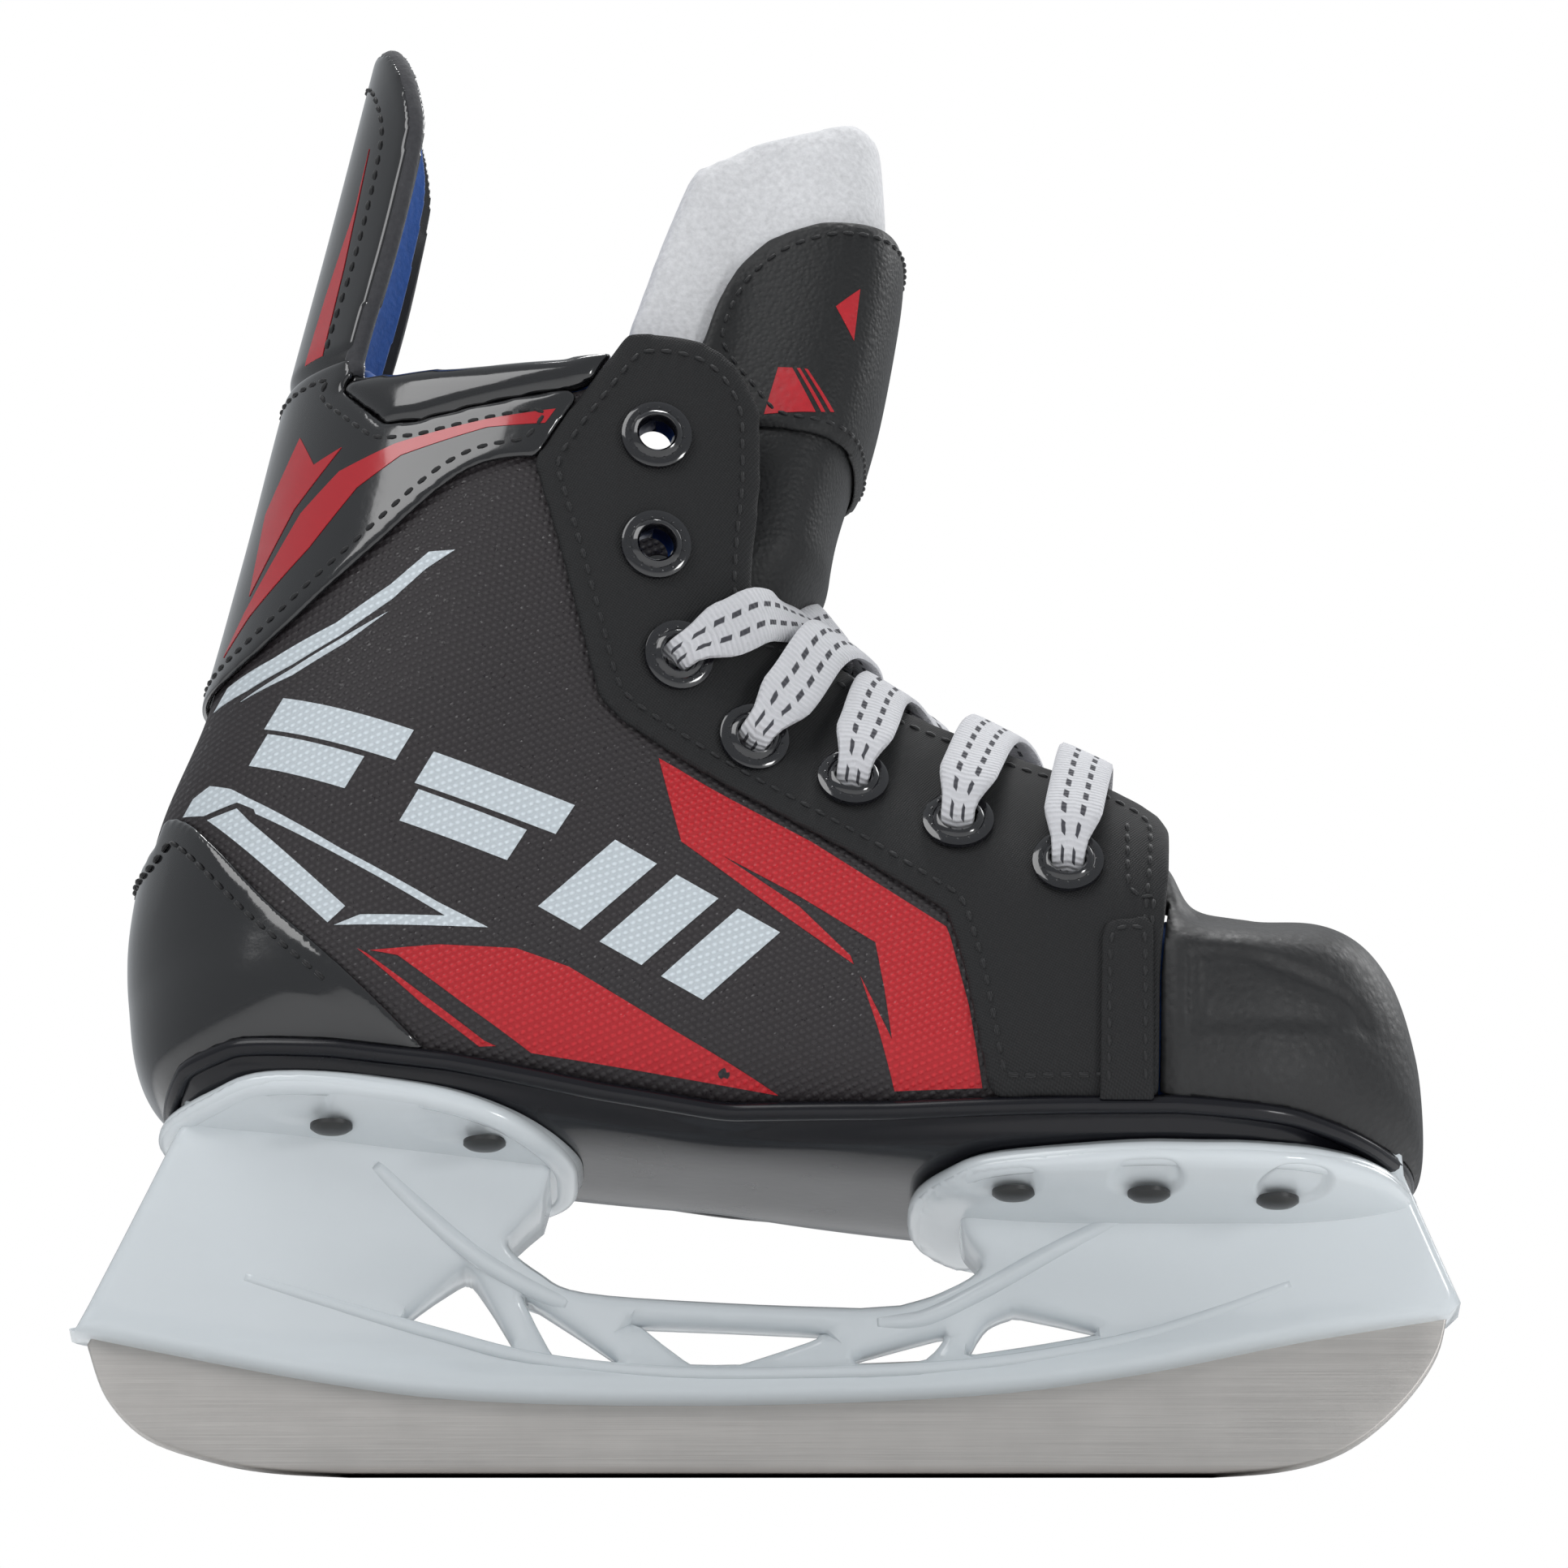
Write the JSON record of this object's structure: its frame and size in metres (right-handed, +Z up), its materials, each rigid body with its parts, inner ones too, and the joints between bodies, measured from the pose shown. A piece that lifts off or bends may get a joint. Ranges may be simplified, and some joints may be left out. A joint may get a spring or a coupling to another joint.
{
  "type": "ice hockey skate",
  "caption": "Laced youth ice hockey skate: steel runner in a trussed holder, stiff lined boot, felt tongue and flexing tendon guard.",
  "frame": {"origin": "middle of the runner's flat ice edge, halfway across its thickness", "axes": "+X to the toe, +Z up from the ice, -Y the outer (lateral) side of this right skate"},
  "size_m": [0.2121, 0.0782, 0.233],
  "materials": {
    "runner_steel": "fine lengthwise grind",
    "holder_plastic": "glossy cool white",
    "fixing_steel": "zinc plated",
    "rivet_steel": "gunmetal",
    "outsole_plastic": "glossy black",
    "board": "fibre board",
    "insole_foam": "matte foam",
    "lining_fabric": "blue brushed pile",
    "quarter_fabric": "coated weave with white and red prints",
    "patent": "high gloss patent",
    "eyestay_nylon": "fine ballistic weave",
    "toe_cap_plastic": "pebbled",
    "eyelet_enamel": "glossy black enamel",
    "tongue_felt": "white felt",
    "tongue_vinyl": "satin grain",
    "lace_cotton": "flat weave with black ticks",
    "aglet_plastic": "clear black film"
  },
  "bodies": {
    "boot": {"blade_runner": "runner_steel", "blade_holder": "holder_plastic", "rear_runner_stud": "fixing_steel", "rear_runner_nut": "fixing_steel", "rear_runner_pin": "fixing_steel", "front_runner_stud": "fixing_steel", "front_runner_nut": "fixing_steel", "front_runner_pin": "fixing_steel", "heel_rivet_1": "rivet_steel", "heel_rivet_2": "rivet_steel", "heel_rivet_3": "rivet_steel", "heel_rivet_4": "rivet_steel", "toe_rivet_1": "rivet_steel", "toe_rivet_2": "rivet_steel", "toe_rivet_3": "rivet_steel", "toe_rivet_4": "rivet_steel", "toe_rivet_5": "rivet_steel", "toe_rivet_6": "rivet_steel", "outsole": "outsole_plastic", "lasting_board": "board", "insole": "insole_foam", "boot_lining": "lining_fabric", "quarter_lateral": "quarter_fabric", "quarter_medial": "quarter_fabric", "heel_counter": "patent", "topline_overlay": "patent", "collar_lateral": "patent", "collar_medial": "patent", "eyestay_lateral": "eyestay_nylon", "eyestay_medial": "eyestay_nylon", "vamp_strap_lateral": "eyestay_nylon", "vamp_strap_medial": "eyestay_nylon", "toe_cap": "toe_cap_plastic", "eyelet_lateral_1": "eyelet_enamel", "eyelet_lateral_2": "eyelet_enamel", "eyelet_lateral_3": "eyelet_enamel", "eyelet_lateral_4": "eyelet_enamel", "eyelet_lateral_5": "eyelet_enamel", "eyelet_lateral_6": "eyelet_enamel", "eyelet_lateral_7": "eyelet_enamel", "eyelet_medial_1": "eyelet_enamel", "eyelet_medial_2": "eyelet_enamel", "eyelet_medial_3": "eyelet_enamel", "eyelet_medial_4": "eyelet_enamel", "eyelet_medial_5": "eyelet_enamel", "eyelet_medial_6": "eyelet_enamel", "eyelet_medial_7": "eyelet_enamel", "tongue_felt_lower": "tongue_felt", "tongue_facing_lower": "tongue_vinyl", "lace": "lace_cotton", "lace_hank": "lace_cotton", "aglet_lateral": "aglet_plastic", "aglet_medial": "aglet_plastic"},
    "tongue_top": {"tongue_felt_upper": "tongue_felt", "tongue_facing_upper": "tongue_vinyl", "tongue_badge": "tongue_vinyl"},
    "tendon_guard": {"tendon_guard_shell": "patent", "tendon_guard_felt": "lining_fabric"}
  },
  "joints": [
    {"name": "tongue_flex", "type": "hinge", "parent": "boot", "child": "tongue_top", "pos_m": [0.0069, 0, 0.1378], "axis": [0, 1, 0], "range_deg": [0, 30], "stiffness_Nm_per_rad": 0.3},
    {"name": "tendon_guard_flex", "type": "hinge", "parent": "boot", "child": "tendon_guard", "pos_m": [-0.0762, 0, 0.1753], "axis": [0, -1, 0], "range_deg": [0, 20], "stiffness_Nm_per_rad": 1.5}
  ]
}
